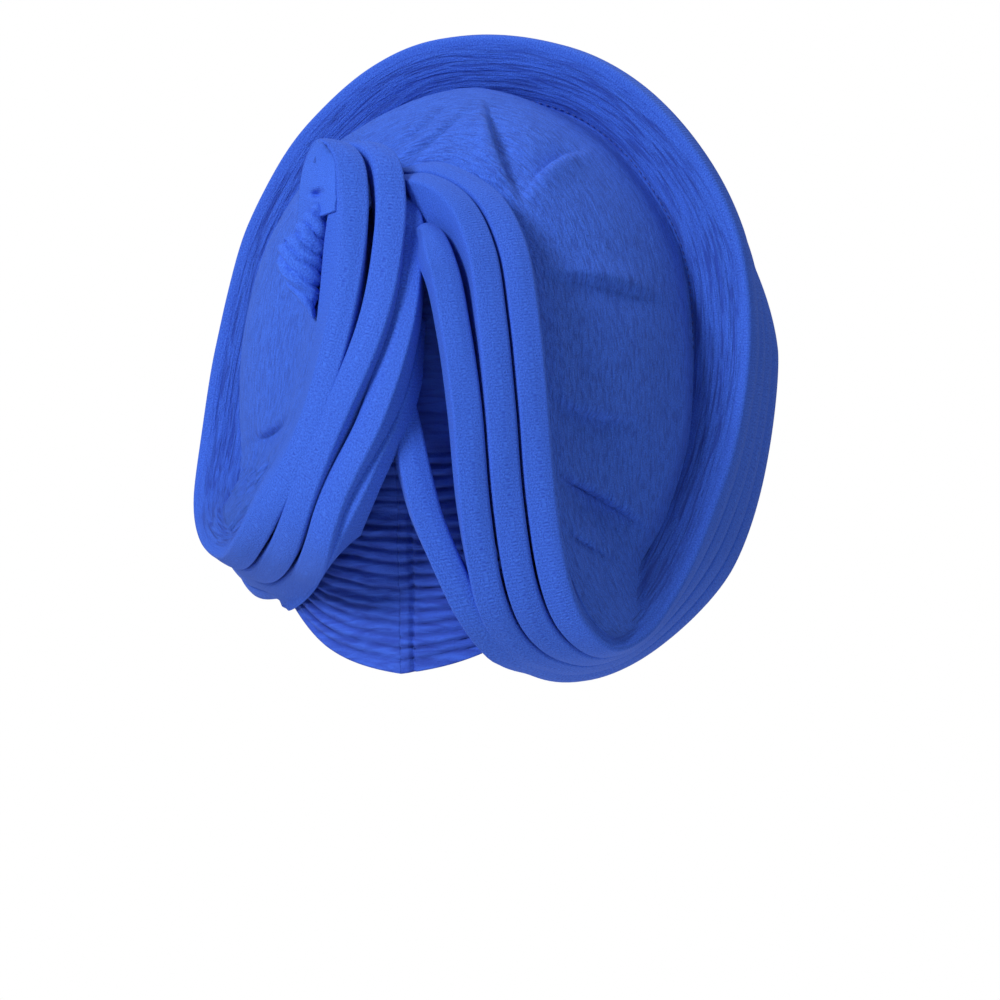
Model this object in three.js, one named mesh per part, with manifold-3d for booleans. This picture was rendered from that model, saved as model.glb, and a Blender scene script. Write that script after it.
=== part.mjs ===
// A tied head tie: a ruched stretch cap that carries a brim of four padded folds.
// The folds run from a pinch high on the back of the head, down and round the right lobe,
// over the head as a halo, round the left lobe and back up to a curl beside the pinch.
// Millimetres. X is the wearer's left, Y the back of the head, Z up; the origin is the
// middle of the head opening.

import * as THREE from "three";
import { mergeVertices } from "three/addons/utils/BufferGeometryUtils.js";
import Module from "manifold-3d";

const wasm = await Module();
wasm.setup();

// Clearance between pieces that are sewn or pressed together, and the least that a cut leaves
const CLEARANCE = 0.3;
const CUT_CLEARANCE = 0.15;

// The cap: a wall of crinkled stretch cloth over the head form
const HEAD_CENTRE = new THREE.Vector3(0, 0, 30);
const CAP_WALL = 3;
const CAP_COLUMNS = 34;
const CAP_DOME_ROWS = 6;
const CAP_INNER_BAND_ROWS = 3;
const CAP_INNER_DOME_ROWS = 4;
const CAP_TOP_RISE = 85;
const ROOM_COLUMNS = 24;
const ROOM_SPARE = 1.1;
const ROOM_DROP = 2;
const RUCHE_COUNT = 9;
const RUCHE_HEIGHT = 1.2;
const RUCHE_FRONT_HEIGHT = 0.5;
const RUCHE_SPREAD = 80;
const SEAM_DEPTH = 1.6;
const SEAM_HALF_ANGLE = 1.3;

// The brim: padded folds, stacked away from the crown panel
const FOLD_COUNT = 4;
const FOLD_PITCH = 12;
const FOLD_THICKNESS = FOLD_PITCH - CLEARANCE;
const FOLD_ROUNDING = 4.2;
const FOLD_STEP_LENGTH = 24;
const ROOT_REACH = 1.27;

// The crown panel: one sheet from the legs of the brim out to the stitched circle
const PANEL_WALL = 2.5;
const PANEL_LIFT = 4.3;
const PANEL_ROWS = 38;
const PANEL_COLUMNS = 5;
const PANEL_TUCK = 3;
const PANEL_OUTER_REACH = 0.85;
const PANEL_INNER_REACH = 0.76;

// The brim and the panel sit askew on the head: their own axes are turned about Z
const TIE_TURN = THREE.MathUtils.degToRad(20);
const SIDE = new THREE.Vector3(-Math.cos(TIE_TURN), -Math.sin(TIE_TURN), 0);
const UP = new THREE.Vector3(0, 0, 1);
const BACK = new THREE.Vector3(-Math.sin(TIE_TURN), Math.cos(TIE_TURN), 0);

const CLOTH_COLOUR = 0x2348c6;
const FOLD_COLOUR = 0x2b55d6;
const CLOTH_ROUGHNESS = 0.85;

// The head form: distance from HEAD_CENTRE to its surface, by angle of rise above the level
const headForm = [
  { rise: -60, side: 128, back: 146, front: 140 },
  { rise: -50, side: 112, back: 124, front: 126 },
  { rise: -40, side: 98, back: 105, front: 113 },
  { rise: -20, side: 84, back: 89, front: 101 },
  { rise: 0, side: 80, back: 92, front: 98 },
  { rise: 20, side: 83, back: 99, front: 99 },
  { rise: 40, side: 91, back: 107, front: 103 },
  { rise: 60, side: 102, back: 112, front: 109 },
  { rise: 90, side: 115, back: 115, front: 115 },
];

// The hem and the top of the ruched band, by angle from the nape, as heights
const capEdges = [
  { turn: 0, hem: -67, band: 14 },
  { turn: 22, hem: -59, band: 14 },
  { turn: 45, hem: -40, band: 15 },
  { turn: 90, hem: -27, band: 20 },
  { turn: 135, hem: -8, band: 30 },
  { turn: 180, hem: 2, band: 36 },
];

// The rim of the first fold, from the pinch round the tie to the curl. side, up and back
// place it; lean tips it towards the rest of the stack; depth is how far it reaches in;
// ease draws each next fold in a little more; set3 and set4 draw the third and fourth in
// further, and shift2 to shift4 move a fold along the stack, under its neighbour if negative.
const plainRim = {
  lean: 0,
  depth: 33,
  ease: 0,
  set3: 0,
  set4: 0,
  shift2: 0,
  shift3: 0,
  shift4: 0,
};
const rim = [
  { side: -28, up: 117, back: 73, lean: -40, depth: 20 },
  { side: -13, up: 119, back: 80, lean: -36, depth: 20, set3: 26 },
  { side: 1, up: 113, back: 89, lean: -26, depth: 20, set3: 18, shift3: 2, shift4: 2 },
  { side: 11, up: 104, back: 98, lean: -12, depth: 22, set3: 9, shift3: 4, shift4: 4 },
  { side: 19, up: 86, back: 107, lean: -4, set3: 4, set4: 34, shift3: 4, shift4: 7 },
  { side: 23, up: 61, back: 113, set3: 2, set4: 28, shift3: 3, shift4: 8 },
  { side: 26, up: 31, back: 115, set3: 1, set4: 19, shift3: 1, shift4: 7 },
  { side: 29, up: -4, back: 113, lean: 4, set4: 9, shift4: 4 },
  { side: 34, up: -34, back: 108, lean: 13, set4: 2, shift4: -3 },
  { side: 40, up: -49, back: 101, lean: 24, depth: 24, shift4: -5 },
  { side: 50, up: -58, back: 91, lean: 33, depth: 18, shift4: -4 },
  { side: 62, up: -54, back: 78, lean: 29, depth: 24, shift4: -2 },
  { side: 75, up: -37, back: 65, lean: 18 },
  { side: 87, up: -11, back: 52, lean: 5 },
  { side: 97, up: 19, back: 42, ease: 1 },
  { side: 102, up: 55, back: 42, ease: 1.5 },
  { side: 97, up: 97, back: 40, ease: 4 },
  { side: 75, up: 137, back: 33, ease: 4.4 },
  { side: 45, up: 163, back: 22, ease: 3 },
  { side: 8, up: 174, back: 8, ease: 1.5 },
  { side: -30, up: 170, back: -6, ease: 2 },
  { side: -66, up: 144, back: -19, ease: 3 },
  { side: -91, up: 104, back: -28, ease: 3 },
  { side: -104, up: 56, back: -33, ease: 1.5 },
  { side: -110, up: 18, back: -30, ease: 1 },
  { side: -111, up: -4, back: -12, lean: 8 },
  { side: -106, up: -19, back: 21, lean: 29, shift4: -2 },
  { side: -95, up: -25, back: 58, lean: 38, shift4: -4 },
  { side: -87, up: -16, back: 83, lean: 26, set4: 1, shift4: -7 },
  { side: -79, up: -3, back: 97, lean: 11, set4: 3, shift2: -1, shift3: -1, shift4: -10 },
  { side: -70, up: 12, back: 104, lean: 2, set3: 2, set4: 6, shift2: -4, shift3: -5, shift4: -13 },
  { side: -62, up: 32, back: 108, set3: 4, set4: 11, shift2: -3, shift3: -3, shift4: -13 },
  { side: -54, up: 62, back: 111, lean: 12, set3: 5, set4: 20, shift4: -9 },
  { side: -50, up: 88, back: 109, lean: 24, depth: 28, set3: 7, set4: 28, shift4: -6 },
  { side: -49, up: 106, back: 106, lean: 30, depth: 16, set3: 14 },
  { side: -51, up: 120, back: 102, lean: 38, depth: 9, set3: 36 },
  { side: -57, up: 126, back: 96, lean: 52, depth: 7 },
  { side: -62, up: 120, back: 89, lean: 60, depth: 8 },
  { side: -65, up: 108, back: 84, lean: 64, depth: 10 },
  { side: -66, up: 95, back: 80, lean: 64, depth: 12 },
].map((row) => ({ ...plainRim, ...row }));

// Rows of rim where the two lobes turn, and where one length of a fold meets the next
const RIGHT_LOBE_ROW = 10;
const LEFT_LOBE_ROW = 27;
const joinRows = [19, 35];

// The stretch of rim that each fold follows: the third and fourth meet lower in the fork
const foldRuns = [
  { from: 0, to: 39 },
  { from: 0.3, to: 39 },
  { from: 3, to: 34.3 },
  { from: 5.4, to: 31.8 },
];

// Folds of the crown panel that run across it: along is the share of the way from the right
// lobe to the left one, height is proud of the cloth or sunk in it, width is in the same share
const panelFolds = [
  { along: 0.08, height: -2.2, width: 0.012 },
  { along: 0.11, height: 2.0, width: 0.012 },
  { along: 0.19, height: 1.8, width: 0.012 },
  { along: 0.28, height: 1.5, width: 0.012 },
  { along: 0.49, height: -4.5, width: 0.012 },
  { along: 0.52, height: 2.5, width: 0.012 },
  { along: 0.86, height: -2.0, width: 0.012 },
  { along: 0.93, height: 2.0, width: 0.012 },
];

// The gathered tuft: a puffed tongue of cloth, by height, with scalloped sides
const TUFT_COLUMNS = 14;
const TUFT_SCALLOPS = 5;
const TUFT_SCALLOP_HEIGHT = 1.3;
const tuftSections = [
  { side: -56, up: 107, back: 96, wide: 3, thick: 4 },
  { side: -58, up: 100, back: 95, wide: 6, thick: 6 },
  { side: -61, up: 91, back: 95, wide: 9, thick: 7 },
  { side: -62, up: 80, back: 96, wide: 9, thick: 7 },
  { side: -60, up: 71, back: 97, wide: 7, thick: 6 },
  { side: -56, up: 63, back: 98, wide: 4, thick: 5 },
];

// A cubic that passes through the rows of a table, read at a fractional row
function columnAt(table, column, position) {
  const last = table.length - 1;
  const row = Math.min(Math.max(Math.floor(position), 0), last - 1);
  const share = position - row;
  const value = (index) => table[Math.min(Math.max(index, 0), last)][column];
  const [before, from, to, after] = [-1, 0, 1, 2].map((step) => value(row + step));
  const leaving = (to - before) / 2;
  const arriving = (after - from) / 2;
  const square = share * share;
  const cube = square * share;
  return (
    (2 * cube - 3 * square + 1) * from +
    (cube - 2 * square + share) * leaving +
    (3 * square - 2 * cube) * to +
    (cube - square) * arriving
  );
}

// The fractional row at which a rising column of a table reaches a value
function rowOf(table, column, value) {
  const after = table.findIndex((row) => row[column] > value);
  if (after === 0) return 0;
  if (after < 0) return table.length - 1;
  const [low, high] = [table[after - 1][column], table[after][column]];
  return after - 1 + (value - low) / (high - low);
}

// Turn is the angle from the nape towards the wearer's left; rise is the angle above the level
function headDirection(turn, rise) {
  const [t, r] = [THREE.MathUtils.degToRad(turn), THREE.MathUtils.degToRad(rise)];
  return new THREE.Vector3(Math.sin(t) * Math.cos(r), Math.cos(t) * Math.cos(r), Math.sin(r));
}

function headRadius(turn, rise) {
  const row = rowOf(headForm, "rise", rise);
  const t = THREE.MathUtils.degToRad(turn);
  const end = columnAt(headForm, Math.cos(t) > 0 ? "back" : "front", row);
  return 1 / Math.hypot(Math.cos(t) / end, Math.sin(t) / columnAt(headForm, "side", row));
}

// A point on the head form, or lifted off it square to its surface
function headPoint(turn, rise, lift = 0) {
  const at = (t, r) => headDirection(t, r).multiplyScalar(headRadius(t, r)).add(HEAD_CENTRE);
  const point = at(turn, rise);
  const along = at(turn + 1, rise).sub(at(turn - 1, rise));
  const over = at(turn, rise + 1).sub(at(turn, rise - 1));
  return point.addScaledVector(over.cross(along).normalize(), lift);
}

// The rise at which the head form reaches a height, found by halving
function riseOfHeight(turn, height) {
  let [low, high] = [-59, 80];
  for (let step = 0; step < 24; step++) {
    const middle = (low + high) / 2;
    if (headPoint(turn, middle).z < height) low = middle;
    else high = middle;
  }
  return low;
}

// Moves a point straight out from the head's centre until it clears the form by lift
function clearOfHead(point, lift) {
  const ray = point.clone().sub(HEAD_CENTRE);
  const turn = THREE.MathUtils.radToDeg(Math.atan2(ray.x, ray.y));
  const rise = THREE.MathUtils.radToDeg(Math.asin(ray.z / ray.length()));
  const least = headRadius(turn, rise) + lift;
  if (ray.length() < least) ray.setLength(least);
  return ray.add(HEAD_CENTRE);
}

function tiePoint({ side, up, back }) {
  return new THREE.Vector3()
    .addScaledVector(SIDE, side)
    .addScaledVector(UP, up)
    .addScaledVector(BACK, back);
}

// A closed surface through rings of equal length, its two ends closed by fans
function loft(rings) {
  const count = rings[0].length;
  const points = rings.flat();
  const triangles = [];
  for (let ring = 0; ring + 1 < rings.length; ring++) {
    for (let corner = 0; corner < count; corner++) {
      const next = (corner + 1) % count;
      const [a, b] = [ring * count + corner, ring * count + next];
      triangles.push([a, b, b + count], [a, b + count, a + count]);
    }
  }
  const ends = [0, rings.length - 1];
  ends.forEach((ring) => {
    const middle = new THREE.Vector3();
    rings[ring].forEach((point) => middle.addScaledVector(point, 1 / count));
    const centre = points.push(middle) - 1;
    for (let corner = 0; corner < count; corner++) {
      const [a, b] = [ring * count + corner, ring * count + ((corner + 1) % count)];
      triangles.push(ring === 0 ? [b, a, centre] : [a, b, centre]);
    }
  });
  return solidOf(points, triangles);
}

// A closed sheet between two grids of points of the same size
function sheet(upper, lower) {
  const [rows, columns] = [upper.length, upper[0].length];
  const points = [...upper.flat(), ...lower.flat()];
  const at = (row, column) => row * columns + column;
  const under = rows * columns;
  const triangles = [];
  for (let row = 0; row + 1 < rows; row++) {
    for (let column = 0; column + 1 < columns; column++) {
      const [a, b] = [at(row, column), at(row, column + 1)];
      const [c, d] = [at(row + 1, column + 1), at(row + 1, column)];
      triangles.push([a, b, c], [a, c, d]);
      triangles.push([under + a, under + c, under + b], [under + a, under + d, under + c]);
    }
  }
  const edge = [];
  for (let column = 0; column < columns - 1; column++) edge.push(at(0, column));
  for (let row = 0; row < rows - 1; row++) edge.push(at(row, columns - 1));
  for (let column = columns - 1; column > 0; column--) edge.push(at(rows - 1, column));
  for (let row = rows - 1; row > 0; row--) edge.push(at(row, 0));
  edge.forEach((a, index) => {
    const b = edge[(index + 1) % edge.length];
    triangles.push([a, under + b, b], [a, under + a, under + b]);
  });
  return solidOf(points, triangles);
}

// A solid of points and triangles, turned the right way out
function solidOf(points, triangles) {
  const geometry = new THREE.BufferGeometry().setFromPoints(points);
  geometry.setIndex(triangles.flat());
  const merged = mergeVertices(geometry, 1e-4);
  const build = (flip) => {
    const index = Array.from(merged.index.array);
    const corners = [];
    for (let i = 0; i < index.length; i += 3) {
      const [a, b, c] = index.slice(i, i + 3);
      if (a !== b && b !== c && c !== a) corners.push(a, flip ? c : b, flip ? b : c);
    }
    return new wasm.Manifold(
      new wasm.Mesh({
        numProp: 3,
        vertProperties: new Float32Array(merged.attributes.position.array),
        triVerts: new Uint32Array(corners),
      }),
    );
  };
  const solid = build(false);
  return solid.volume() < 0 ? build(true) : solid;
}

// The largest body of a solid, without the crumbs that a cut leaves
function mainBody(solid) {
  const bodies = solid.decompose();
  return bodies.reduce((best, body) => (body.volume() > best.volume() ? body : best));
}

function meshOf(name, solid, colour) {
  const { vertProperties, triVerts, numProp } = solid.getMesh();
  const geometry = new THREE.BufferGeometry();
  geometry.setAttribute("position", new THREE.BufferAttribute(vertProperties, numProp));
  geometry.setIndex(new THREE.BufferAttribute(triVerts, 1));
  const material = new THREE.MeshStandardMaterial({
    color: colour,
    roughness: CLOTH_ROUGHNESS,
    metalness: 0,
  });
  const mesh = new THREE.Mesh(geometry, material);
  mesh.name = name;
  return mesh;
}

// The cap

// Columns run round the head from the nape, close together beside the back seam
const capTurns = [0, SEAM_HALF_ANGLE];
const openTurn = 360 - 2 * SEAM_HALF_ANGLE;
for (let column = 1; column < CAP_COLUMNS - 2; column++)
  capTurns.push(SEAM_HALF_ANGLE + (openTurn * column) / (CAP_COLUMNS - 2));
capTurns.push(360 - SEAM_HALF_ANGLE);

const roomTurns = Array.from({ length: ROOM_COLUMNS }, (_, column) => (360 * column) / ROOM_COLUMNS);

function capEdge(turn, column) {
  const fromNape = Math.min(turn, 360 - turn);
  return columnAt(capEdges, column, rowOf(capEdges, "turn", fromNape));
}

// How proud a ruche stands: full at the nape, low over the ears and the forehead
function rucheHeight(turn) {
  const fromNape = Math.min(turn, 360 - turn);
  const share = THREE.MathUtils.smoothstep(fromNape, RUCHE_SPREAD / 2, RUCHE_SPREAD);
  return THREE.MathUtils.lerp(RUCHE_HEIGHT, RUCHE_FRONT_HEIGHT, share);
}

// One ring of the ruched band, at a share of the way from the hem to the top of the band
function bandRing(turns, share, lift, drop) {
  return turns.map((turn) => {
    const hem = capEdge(turn, "hem") - drop;
    const height = THREE.MathUtils.lerp(hem, capEdge(turn, "band"), share);
    return headPoint(turn, riseOfHeight(turn, height), lift(turn));
  });
}

function domeRing(turns, share, lift) {
  return turns.map((turn) => {
    const low = riseOfHeight(turn, capEdge(turn, "band"));
    return headPoint(turn, THREE.MathUtils.lerp(low, CAP_TOP_RISE, share), lift(turn));
  });
}

function capRings(turns, bandRows, domeRows, bandLift, domeLift, drop = 0) {
  const rings = [];
  for (let row = 0; row < bandRows; row++)
    rings.push(bandRing(turns, row / bandRows, bandLift(row), drop));
  for (let row = 0; row <= domeRows; row++)
    rings.push(domeRing(turns, row / domeRows, domeLift));
  return rings;
}

function makeCap() {
  const seam = (turn) => (turn === 0 ? -SEAM_DEPTH : 0);
  const ruche = (row) => (turn) => seam(turn) + (row % 2 ? rucheHeight(turn) : 0);
  const inside = () => -CAP_WALL;
  const outer = capRings(capTurns, 2 * RUCHE_COUNT, CAP_DOME_ROWS, ruche, seam);
  const [bandRows, domeRows] = [CAP_INNER_BAND_ROWS, CAP_INNER_DOME_ROWS];
  const inner = capRings(capTurns, bandRows, domeRows, () => inside, inside);
  return loft([...inner.reverse(), ...outer]);
}

// The room that the cap takes from whatever is sewn to it
function makeCapRoom() {
  const bandLift = () => RUCHE_HEIGHT + CLEARANCE + ROOM_SPARE;
  const domeLift = () => CLEARANCE + ROOM_SPARE;
  const [bandRows, domeRows] = [CAP_INNER_BAND_ROWS, CAP_DOME_ROWS];
  return loft(capRings(roomTurns, bandRows, domeRows, () => bandLift, domeLift, ROOM_DROP));
}

// The brim

const rimCurve = new THREE.CatmullRomCurve3(rim.map(tiePoint), false, "centripetal");

// The frame of the rim at a fractional row: out points from the root of a fold to its rim,
// and stack points from the first fold to the last
function rimFrame(position) {
  const share = Math.min(position / (rim.length - 1), 1);
  const point = rimCurve.getPoint(share);
  const tangent = rimCurve.getTangent(share);
  const out = point.clone().sub(HEAD_CENTRE);
  out.addScaledVector(tangent, -out.dot(tangent)).normalize();
  out.applyAxisAngle(tangent, THREE.MathUtils.degToRad(columnAt(rim, "lean", position)));
  const stack = tangent.clone().cross(out).normalize();
  return { point, out, stack, position };
}

// A place on a fold: across is towards the rest of the stack, inward is back from the rim
function foldPoint(frame, across, inward) {
  return frame.point
    .clone()
    .addScaledVector(frame.stack, across)
    .addScaledVector(frame.out, -inward);
}

// Where one fold lies in the stack at a frame
function foldPlace(fold, { position }) {
  const column = (name) => columnAt(rim, name, position);
  const shift = [0, column("shift2"), column("shift3"), column("shift4")][fold];
  const set = [0, 0, column("set3"), column("set4")][fold];
  return { across: fold * FOLD_PITCH + shift, inward: fold * column("ease") + set };
}

// The closed outline of a fold at a frame, grown all round by a margin
function foldRing(fold, frame, margin) {
  const { across, inward } = foldPlace(fold, frame);
  const near = across - margin;
  const far = across + FOLD_THICKNESS + margin;
  const root = inward + columnAt(rim, "depth", frame.position) * ROOT_REACH + margin;
  const tip = inward - margin;
  const round = FOLD_ROUNDING;
  const bevel = round * (1 - Math.SQRT1_2);
  return [
    [near, root],
    [near, tip + round],
    [near + bevel, tip + bevel],
    [near + round, tip],
    [far - round, tip],
    [far - bevel, tip + bevel],
    [far, tip + round],
    [far, root],
  ].map(([sideways, down]) => foldPoint(frame, sideways, down));
}

// The fractional rows where a fold has its rings, about one step length apart
function foldRows(fromRow, toRow) {
  const rows = [];
  for (let row = 0; row + 1 < rim.length; row++) {
    const length = tiePoint(rim[row]).distanceTo(tiePoint(rim[row + 1]));
    const steps = Math.ceil(length / FOLD_STEP_LENGTH);
    for (let step = 0; step < steps; step++) rows.push(row + step / steps);
  }
  return [fromRow, ...rows.filter((row) => row > fromRow && row < toRow), toRow];
}

function foldLength(fold, fromRow, toRow, margin) {
  return loft(foldRows(fromRow, toRow).map((row) => foldRing(fold, rimFrame(row), margin)));
}

// A fold is lengths joined end to end, so that it can curl back against itself
function makeFold(fold, margin = 0) {
  const { from, to } = foldRuns[fold];
  const stops = [from, ...joinRows.filter((row) => row > from && row < to), to];
  const lengths = stops.slice(1).map((stop, i) => foldLength(fold, stops[i], stop, margin));
  return lengths.reduce((whole, length) => whole.add(length));
}

// The crown panel

// Points spaced evenly along a line of points
function spaced(points, count) {
  const path = new THREE.CurvePath();
  for (let index = 0; index + 1 < points.length; index++)
    path.add(new THREE.LineCurve3(points[index], points[index + 1]));
  return path.getSpacedPoints(count);
}

function panelEdge(rows, reach) {
  return rows.map((row) => foldPoint(rimFrame(row), PANEL_TUCK, reach * rim[row].depth));
}

// How far a fold of the panel stands out at a share of the panel's length
function foldHeight(share) {
  return panelFolds.reduce((sum, { along, height, width }) => {
    const away = (share - along) / width;
    return sum + height * Math.exp(-away * away);
  }, 0);
}

function makePanel() {
  const range = (from, to) =>
    Array.from({ length: Math.abs(to - from) + 1 }, (_, i) => from + i * Math.sign(to - from));
  const outerRows = range(RIGHT_LOBE_ROW + 1, LEFT_LOBE_ROW - 1);
  const innerRows = [...range(RIGHT_LOBE_ROW - 1, 0), ...range(rim.length - 1, LEFT_LOBE_ROW + 1)];
  const outer = spaced(panelEdge(outerRows, PANEL_OUTER_REACH), PANEL_ROWS);
  const inner = spaced(panelEdge(innerRows, PANEL_INNER_REACH), PANEL_ROWS);
  const upper = [];
  const lower = [];
  outer.forEach((outerPoint, row) => {
    const height = foldHeight(row / PANEL_ROWS);
    const across = Array.from({ length: PANEL_COLUMNS + 1 }, (_, i) => i / PANEL_COLUMNS);
    const strip = across.map((share) => {
      const swell = height * Math.sin(Math.PI * share);
      const point = inner[row].clone().lerp(outerPoint, share);
      const ray = point.clone().sub(HEAD_CENTRE);
      return clearOfHead(point.addScaledVector(ray.normalize(), swell), PANEL_LIFT);
    });
    upper.push(strip);
    lower.push(
      strip.map((point) => {
        const ray = point.clone().sub(HEAD_CENTRE);
        return ray.setLength(ray.length() - PANEL_WALL).add(HEAD_CENTRE);
      }),
    );
  });
  return sheet(upper, lower);
}

// The tuft

function makeTuft() {
  const rings = tuftSections.map((section) => {
    const centre = tiePoint(section);
    return Array.from({ length: TUFT_COLUMNS }, (_, i) => {
      const angle = (2 * Math.PI * i) / TUFT_COLUMNS;
      const scallop = TUFT_SCALLOP_HEIGHT * Math.cos(TUFT_SCALLOPS * angle);
      return centre
        .clone()
        .addScaledVector(SIDE, (section.wide + scallop) * Math.cos(angle))
        .addScaledVector(BACK, (section.thick + scallop) * Math.sin(angle));
    });
  });
  return loft(rings);
}

const tie = new THREE.Group();
tie.add(meshOf("cap", makeCap(), CLOTH_COLOUR));

const rooms = [makeCapRoom()];
for (let fold = 0; fold < FOLD_COUNT; fold++) {
  const layer = mainBody(rooms.reduce((left, room) => left.subtract(room), makeFold(fold)));
  rooms.push(makeFold(fold, CUT_CLEARANCE).add(layer));
  tie.add(meshOf("brim_layer_" + (fold + 1), layer, FOLD_COLOUR));
}

const [, firstRoom, secondRoom] = rooms;
const panel = mainBody(makePanel().subtract(firstRoom).subtract(secondRoom));
tie.add(meshOf("crown_panel", panel, CLOTH_COLOUR));
const tuft = makeTuft().subtract(firstRoom).subtract(panel);
tie.add(meshOf("gathered_tuft", mainBody(tuft), CLOTH_COLOUR));

export default tie;
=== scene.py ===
"""A pre-tied head tie of royal blue stretch crepe, worn shape, seen from behind.

A ruched cap carries a brim of four padded folds. A gathered panel fills the crown inside
the stitched circle of the first fold, and a gathered tuft shows inside the curl.
Lengths in the tables and functions are millimetres, turned to metres as a mesh is placed.
"""

import functools
import math

import bmesh
import bpy
from mathutils import Matrix, Vector, noise


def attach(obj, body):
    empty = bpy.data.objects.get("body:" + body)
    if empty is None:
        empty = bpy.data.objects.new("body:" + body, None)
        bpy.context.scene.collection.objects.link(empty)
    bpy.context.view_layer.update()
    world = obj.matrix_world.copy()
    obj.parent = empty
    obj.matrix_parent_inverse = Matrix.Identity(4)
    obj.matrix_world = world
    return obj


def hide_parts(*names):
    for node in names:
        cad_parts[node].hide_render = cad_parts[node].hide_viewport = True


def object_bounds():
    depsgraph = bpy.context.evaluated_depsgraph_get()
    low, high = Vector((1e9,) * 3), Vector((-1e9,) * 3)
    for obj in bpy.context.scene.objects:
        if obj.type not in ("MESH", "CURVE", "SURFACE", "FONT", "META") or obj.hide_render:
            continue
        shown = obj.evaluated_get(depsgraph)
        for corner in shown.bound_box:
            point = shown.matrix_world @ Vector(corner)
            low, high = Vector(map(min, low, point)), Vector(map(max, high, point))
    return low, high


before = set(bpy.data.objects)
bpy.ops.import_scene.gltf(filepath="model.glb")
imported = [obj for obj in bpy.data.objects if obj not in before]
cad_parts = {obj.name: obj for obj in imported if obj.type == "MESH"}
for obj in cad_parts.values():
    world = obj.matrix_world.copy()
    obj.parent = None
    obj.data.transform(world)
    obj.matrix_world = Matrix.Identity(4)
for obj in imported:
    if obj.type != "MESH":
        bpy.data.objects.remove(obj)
cad_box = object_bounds()

MM = 0.001

# The head form, the hem and the rim, the same as the solids follow

HEAD_CENTRE = Vector((0, 0, 30))
HEAD_FORM = [
    dict(rise=-60, side=128, back=146, front=140),
    dict(rise=-50, side=112, back=124, front=126),
    dict(rise=-40, side=98, back=105, front=113),
    dict(rise=-20, side=84, back=89, front=101),
    dict(rise=0, side=80, back=92, front=98),
    dict(rise=20, side=83, back=99, front=99),
    dict(rise=40, side=91, back=107, front=103),
    dict(rise=60, side=102, back=112, front=109),
    dict(rise=90, side=115, back=115, front=115),
]
CAP_EDGES = [
    dict(turn=0, hem=-67, band=14),
    dict(turn=22, hem=-59, band=14),
    dict(turn=45, hem=-40, band=15),
    dict(turn=90, hem=-27, band=20),
    dict(turn=135, hem=-8, band=30),
    dict(turn=180, hem=2, band=36),
]
PLAIN_RIM = dict(
    lean=0, depth=33, ease=0, reach=26, dish=0, brow=0, slim4=0,
    set3=0, set4=0, shift2=0, shift3=0, shift4=0,
)
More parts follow.
